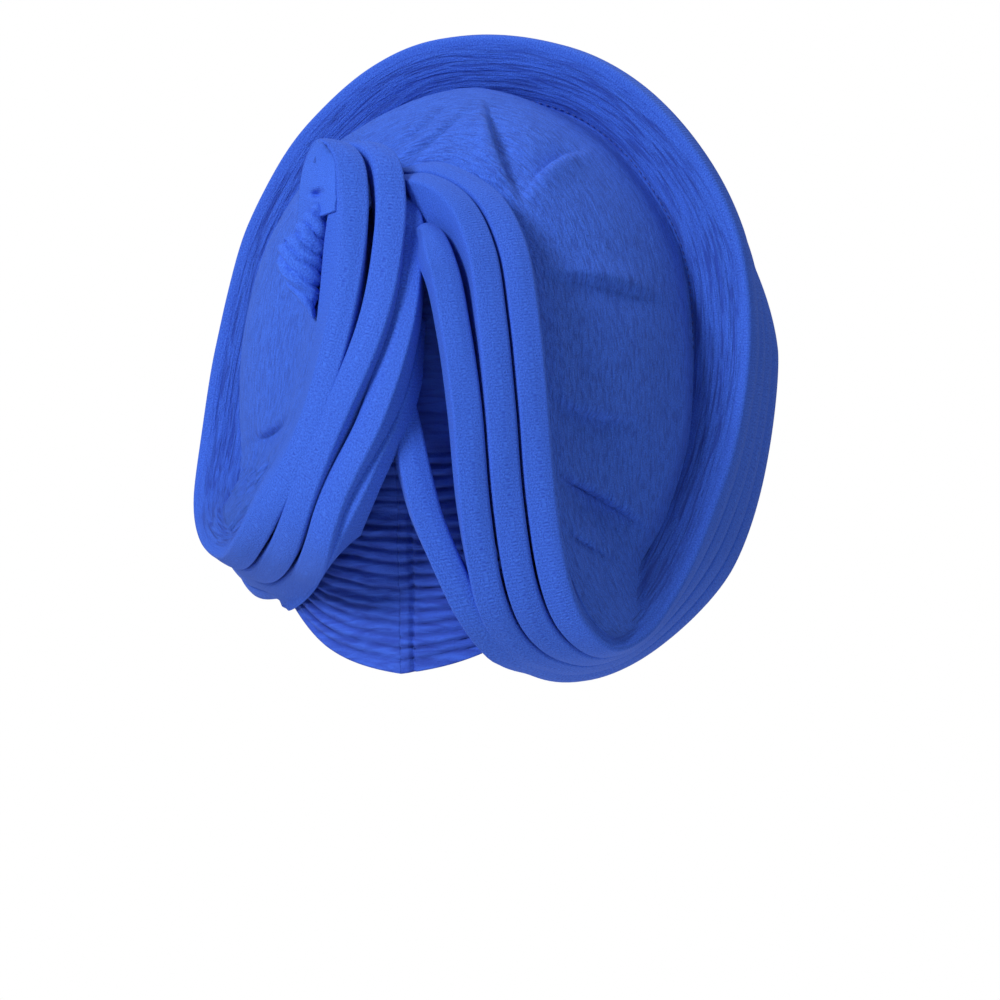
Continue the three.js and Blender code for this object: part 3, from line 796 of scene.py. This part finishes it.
def ruche(turn, height):
    """Height of the shirred cloth and how deep in a valley it lies, which weights the painted shade of
    the valleys: puffs with sharp valleys between them, that follow the hem below and lie level above, waver, and run
    into each other."""
    run = from_seam(turn)
    above_hem = height - cap_edge(turn, "hem")
    follow = 0.32 + 0.6 * math.exp(-above_hem / 22) if run > 0 else 0.9 * math.exp(-above_hem / 14)
    level = height - follow * (cap_edge(turn, "hem") - CAP_EDGES[0]["hem"])
    level += 1.6 * noise.noise(Vector((run / 28, level / 12, 1.5 if run > 0 else 6.5)))
    level += 0.5 * noise.noise(Vector((run / 9, level / 7, 3.5)))
    puff = abs(math.sin(math.pi * level / RUCHE_PITCH)) ** 0.7
    ripple = abs(math.sin(math.pi * level / RUCHE_PITCH * 2.13 + 1.1))
    fullness = 0.8 + 0.7 * noise.noise(Vector((run / 20, level / 6, 9)))
    fullness = min(max(fullness, 0.2), 1.15)
    return RUCHE_DEPTH * fullness * (puff - 0.16 * ripple), fullness * (1 - puff)


@functools.lru_cache(maxsize=None)
def band_rises(turn):
    """The rises of the hem and of the band's top edge at a turn."""
    return tuple(rise_of_height(turn, cap_edge(turn, name)) for name in ("hem", "band"))


def make_cap():
    rows = BAND_ROWS + DOME_ROWS

    def place(row, column):
        share = column / CAP_COLUMNS
        turn = 2 * math.pi * share - NAPE_CROWDING * math.sin(2 * math.pi * share)
        low, high = band_rises(turn)
        away = from_seam(turn) / SEAM_WIDTH
        seam = SEAM_DEPTH * math.exp(-away * away)
        if row <= BAND_ROWS:
            rise = low + (high - low) * row / BAND_ROWS
            edge = 1
        else:
            share = (row - BAND_ROWS) / DOME_ROWS
            rise = high + (DOME_TOP_RISE - high) * share
            edge = 1 - 0.8 * smoothstep(share, 0, 0.3)
        height = on_head(turn, rise).z
        above_hem = height - cap_edge(turn, "hem")
        edge *= smoothstep(above_hem, 1, 5)
        roll = HEM_ROLL * math.exp(-((above_hem / HEM_WIDTH) ** 4))
        # The valley depth, kept as the slack attribute, weights the painted shade of the cap's valleys.
        puff, valley_shade = ruche(turn, height)
        lift = puff * edge + roll - seam
        return head_point(turn, rise, lift), (turn * 90, height), valley_shade * edge

    return cloth_mesh("ruched_cap", rows, CAP_COLUMNS, place)


# Materials

def linear(colour):
    """A #rrggbb colour as the renderer's linear values."""
    values = [int(colour[i : i + 2], 16) / 255 for i in (1, 3, 5)]
    return [v / 12.92 if v <= 0.04045 else ((v + 0.055) / 1.055) ** 2.4 for v in values] + [1]


def add_node(tree, kind, inputs=None, **settings):
    """Adds a node with its settings; an input is a value or another node's output."""
    node = tree.nodes.new(kind)
    for name, value in settings.items():
        setattr(node, name, value)
    for name, value in (inputs or {}).items():
        if isinstance(value, bpy.types.NodeSocket):
            tree.links.new(value, node.inputs[name])
        else:
            node.inputs[name].default_value = value
    return node


def output(tree, kind, socket, inputs=None, **settings):
    return add_node(tree, kind, inputs, **settings).outputs[socket]


def close_cloth(name):
    """A new cloth material: its node tree, its place on the flat cloth and how slack it is."""
    material = bpy.data.materials.new(name)
    material.use_nodes = True
    material.node_tree.nodes.clear()
    tree = material.node_tree
    cloth = output(tree, "ShaderNodeUVMap", "UV", uv_map="cloth")
    slack = output(tree, "ShaderNodeAttribute", "Fac", attribute_name="slack")
    return material, tree, cloth, slack


def per_metre(millimetres):
    return 1000 / millimetres


# Real spacings in millimetres. The knit's own wales are about 0.4 mm apart, under a pixel, so
# the ribs are drawn two to three times as coarse, where they just show.
RIB_SPACING = 1.15
YARN_GRAIN = 0.6
FUZZ_GRAIN = 2.0
# The two crepes are one cloth. The slack copy's ramp is paler and the drawn copy's darker: painted light and shade
# matching how brightly the crown panel, curl and tuft and the brim are lit.
DRAWN_CREPE = dict(
    crinkle_length=22, crinkle_spacing=1.3, crinkle_shade=0.75, dark="#284ab6", pale="#3b6bdb"
)
SLACK_CREPE = dict(
    crinkle_length=5, crinkle_spacing=1.0, crinkle_shade=0.5, dark="#2d53c6", pale="#4174e9"
)
PUCKER_SPACING = 2.2
PUCKER_LENGTH = 12
WAVE_PERIOD = 0.314


def yarn_grain(tree, cloth):
    """Two sizes of mottle: the loops of the yarn, and the fuzz that gathers over them."""
    yarn = output(
        tree, "ShaderNodeTexNoise", "Fac", {"Vector": cloth, "Scale": per_metre(YARN_GRAIN), "Detail": 3}
    )
    fuzz = output(
        tree, "ShaderNodeTexNoise", "Fac", {"Vector": cloth, "Scale": per_metre(FUZZ_GRAIN), "Detail": 2}
    )
    return yarn, output(tree, "ShaderNodeMath", "Value", {0: yarn, 1: fuzz}, operation="ADD")


def finish_cloth(tree, colour, roughness, normal):
    """The matte shader of polyester cloth, with the pale bloom of its brushed face."""
    shader = output(
        tree,
        "ShaderNodeBsdfPrincipled",
        "BSDF",
        {
            "Base Color": colour,
            "Roughness": roughness,
            "Specular IOR Level": 0.22,
            "Sheen Weight": 0.12,
            "Sheen Roughness": 0.5,
            "Sheen Tint": linear("#8fb2ff"),
            "Normal": normal,
        },
    )
    add_node(tree, "ShaderNodeOutputMaterial", {"Surface": shader})


def stretch_crepe(name, crinkle_length, crinkle_spacing, crinkle_shade, dark, pale):
    """Polyester stretch crepe, warp knitted and heat crinkled. Pulled over the padding it is
    smooth and matte with fine cross ribs; where it is slack it keeps its crinkle, wavering
    lines that the eye reads before the colour, whose valleys are painted darker as painted shade."""
    material, tree, cloth, slack = close_cloth(name)
    yarn, mottle = yarn_grain(tree, cloth)
    stretched = output(
        tree,
        "ShaderNodeMapping",
        "Vector",
        {"Vector": cloth, "Scale": (per_metre(crinkle_length), per_metre(crinkle_spacing), 1)},
    )
    crinkles = output(
        tree,
        "ShaderNodeTexNoise",
        "Fac",
        {"Vector": stretched, "Scale": 1, "Detail": 4, "Roughness": 0.62, "Distortion": 0.7},
    )
    ribs = output(
        tree,
        "ShaderNodeTexWave",
        "Fac",
        {"Vector": cloth, "Scale": WAVE_PERIOD * per_metre(RIB_SPACING), "Distortion": 1.2,
         "Detail": 1, "Detail Scale": 3},
        bands_direction="X",
    )
    taut = output(tree, "ShaderNodeMath", "Value", {0: 1.0, 1: slack}, operation="SUBTRACT")
    rib_strength = output(tree, "ShaderNodeMath", "Value", {0: taut, 1: 0.55}, operation="MULTIPLY")
    crinkled = output(
        tree, "ShaderNodeBump", "Normal", {"Height": crinkles, "Strength": slack, "Distance": 0.001 * crinkle_spacing}
    )
    ribbed = output(
        tree,
        "ShaderNodeBump",
        "Normal",
        {"Height": ribs, "Strength": rib_strength, "Distance": 0.00016, "Normal": crinkled},
    )
    grained = output(
        tree,
        "ShaderNodeBump",
        "Normal",
        {"Height": yarn, "Strength": 0.8, "Distance": 0.0004, "Normal": ribbed},
    )
    face = add_node(tree, "ShaderNodeValToRGB", {"Fac": yarn})
    face.color_ramp.elements[0].position = 0.32
    face.color_ramp.elements[0].color = linear(dark)
    face.color_ramp.elements[1].position = 0.68
    face.color_ramp.elements[1].color = linear(pale)
    # Painted shade: the crinkles' valleys are mixed towards a darker blue, as far as the cloth is slack.
    valley_shade = output(
        tree,
        "ShaderNodeMapRange",
        "Result",
        {"Value": crinkles, "From Min": 0.54, "From Max": 0.38, "To Min": 0.0, "To Max": crinkle_shade},
    )
    shade = output(tree, "ShaderNodeMath", "Value", {0: valley_shade, 1: slack}, operation="MULTIPLY")
    colour = output(
        tree,
        "ShaderNodeMixRGB",
        "Color",
        {"Fac": shade, "Color1": face.outputs["Color"], "Color2": linear("#1d3796")},
    )
    roughness = output(
        tree,
        "ShaderNodeMapRange",
        "Result",
        {"Value": mottle, "From Min": 0.6, "From Max": 1.4, "To Min": 0.9, "To Max": 0.72},
    )
    finish_cloth(tree, colour, roughness, grained)
    return material


def shirred_jersey():
    """Polyester jersey shirred on elastic thread: a fine even knit with the wales running up the cap.
    The valleys of the gathers and the dents of the puckers are painted darker, as painted shade."""
    material, tree, cloth, slack = close_cloth("shirred_jersey")
    yarn, mottle = yarn_grain(tree, cloth)
    puckers = output(
        tree,
        "ShaderNodeMapping",
        "Vector",
        {"Vector": cloth, "Scale": (per_metre(PUCKER_LENGTH), per_metre(PUCKER_SPACING), 1)},
    )
    pucker = output(
        tree, "ShaderNodeTexNoise", "Fac", {"Vector": puckers, "Scale": 1, "Detail": 3, "Distortion": 0.5}
    )
    puckered = output(
        tree, "ShaderNodeBump", "Normal", {"Height": pucker, "Strength": 0.9, "Distance": 0.0006}
    )
    grained = output(
        tree,
        "ShaderNodeBump",
        "Normal",
        {"Height": yarn, "Strength": 0.8, "Distance": 0.0004, "Normal": puckered},
    )
    # Painted shade: this ramp darkens the puckers' dents.
    face = add_node(tree, "ShaderNodeValToRGB", {"Fac": pucker})
    face.color_ramp.elements[0].position = 0.34
    face.color_ramp.elements[0].color = linear("#2945ab")
    face.color_ramp.elements[1].position = 0.62
    face.color_ramp.elements[1].color = linear("#365ccc")
    roughness = output(
        tree,
        "ShaderNodeMapRange",
        "Result",
        {"Value": mottle, "From Min": 0.6, "From Max": 1.4, "To Min": 0.92, "To Max": 0.76},
    )
    # Painted shade: the valleys of the gathers are mixed towards a darker blue.
    colour = output(
        tree,
        "ShaderNodeMixRGB",
        "Color",
        {"Fac": slack, "Color1": face.outputs["Color"], "Color2": linear("#182a7c")},
    )
    finish_cloth(tree, colour, roughness, grained)
    return material


def sewing_thread():
    """Spun polyester thread, two plies twisted: darker than the cloth, a little smoother."""
    material = bpy.data.materials.new("spun_polyester_thread")
    material.use_nodes = True
    tree = material.node_tree
    tree.nodes.clear()
    place = output(tree, "ShaderNodeTexCoord", "Object")
    twist = output(
        tree,
        "ShaderNodeTexWave",
        "Fac",
        {"Vector": place, "Scale": WAVE_PERIOD * per_metre(0.5), "Distortion": 0.5},
        bands_direction="DIAGONAL",
    )
    normal = output(
        tree, "ShaderNodeBump", "Normal", {"Height": twist, "Strength": 0.6, "Distance": 0.0001}
    )
    plies = add_node(tree, "ShaderNodeValToRGB", {"Fac": twist})
    plies.color_ramp.elements[0].color = linear("#162a78")
    plies.color_ramp.elements[1].color = linear("#2443a8")
    shader = output(
        tree,
        "ShaderNodeBsdfPrincipled",
        "BSDF",
        {"Base Color": plies.outputs["Color"], "Roughness": 0.6, "Normal": normal},
    )
    add_node(tree, "ShaderNodeOutputMaterial", {"Surface": shader})
    return material


# The studio

CAMERA_SIDE = 8.5
CAMERA_UP = -3.8
CAMERA_DISTANCE = 1400
FOCAL_PIXELS = 3640
SENSOR = 36
FLOOR_DROP = 0.38
FLOOR_SIZE = 1.5
ROOM_LIGHT = 0.2
LAMPS = [
    dict(name="key", side=-1.35, up=1.15, back=1.5, size=0.6, watts=50),
    dict(name="fill", side=1.3, up=0.3, back=1.5, size=1.4, watts=5),
    dict(name="top", side=0.3, up=1.7, back=-0.2, size=0.9, watts=12),
]


def make_studio():
    camera = bpy.data.objects.new("camera", bpy.data.cameras.new("camera"))
    camera.data.sensor_width = SENSOR
    camera.data.lens = SENSOR * FOCAL_PIXELS / 1000
    camera.data.clip_end = 100
    place = SIDE * CAMERA_SIDE + UP * CAMERA_UP + BACK * CAMERA_DISTANCE
    turn = Matrix((SIDE, UP, BACK)).transposed().to_4x4()
    camera.matrix_world = Matrix.Translation(place * MM) @ turn
    bpy.context.scene.collection.objects.link(camera)
    bpy.context.scene.camera = camera

    bm = bmesh.new()
    bmesh.ops.create_grid(bm, x_segments=1, y_segments=1, size=FLOOR_SIZE)
    bmesh.ops.translate(bm, verts=bm.verts, vec=(0, 0, cad_box[0][2] - FLOOR_DROP))
    mesh = bpy.data.meshes.new("floor")
    bm.to_mesh(mesh)
    bm.free()
    floor = bpy.data.objects.new("floor", mesh)
    bpy.context.scene.collection.objects.link(floor)
    paint = bpy.data.materials.new("pale_floor")
    paint.use_nodes = True
    shader = paint.node_tree.nodes["Principled BSDF"]
    shader.inputs["Base Color"].default_value = (0.9, 0.9, 0.9, 1)
    shader.inputs["Roughness"].default_value = 0.9
    mesh.materials.append(paint)

    world = bpy.data.worlds.new("studio")
    world.use_nodes = True
    tree = world.node_tree
    seen = add_node(tree, "ShaderNodeLightPath").outputs["Is Camera Ray"]
    glow = add_node(tree, "ShaderNodeMapRange", {"Value": seen, "To Min": ROOM_LIGHT, "To Max": 1})
    tree.links.new(glow.outputs["Result"], tree.nodes["Background"].inputs["Strength"])
    tree.nodes["Background"].inputs["Color"].default_value = (1, 1, 1, 1)
    bpy.context.scene.world = world

    for row in LAMPS:
        lamp = bpy.data.lights.new(row["name"], "AREA")
        lamp.size = row["size"]
        lamp.energy = row["watts"]
        light = bpy.data.objects.new(row["name"], lamp)
        light.location = tie_point(row)
        light.rotation_euler = (-light.location).to_track_quat("-Z", "Y").to_euler()
        bpy.context.scene.collection.objects.link(light)
    bpy.context.scene.view_settings.view_transform = "Standard"


make_studio()
crepe = stretch_crepe("drawn_stretch_crepe", **DRAWN_CREPE)
crinkled_crepe = stretch_crepe("crinkled_stretch_crepe", **SLACK_CREPE)
for fold in range(len(FOLDS)):
    finish_piece(make_fold(fold), crepe, "ribbed_knit", f"brim_layer_{fold + 1}")
panel = make_panel()
finish_piece(panel, crinkled_crepe, "crinkle_crepe", "crown_panel")
curl = make_curl()
finish_piece(curl, crinkled_crepe, "crinkle_crepe")
finish_piece(make_tuft(), crinkled_crepe, "crinkle_crepe", "gathered_tuft")
finish_piece(make_stitches(), sewing_thread(), "crinkle_crepe")
cap = make_cap()
add_wall(cap, CAP_WALL)
finish_piece(cap, shirred_jersey(), "ruched_jersey", "cap")
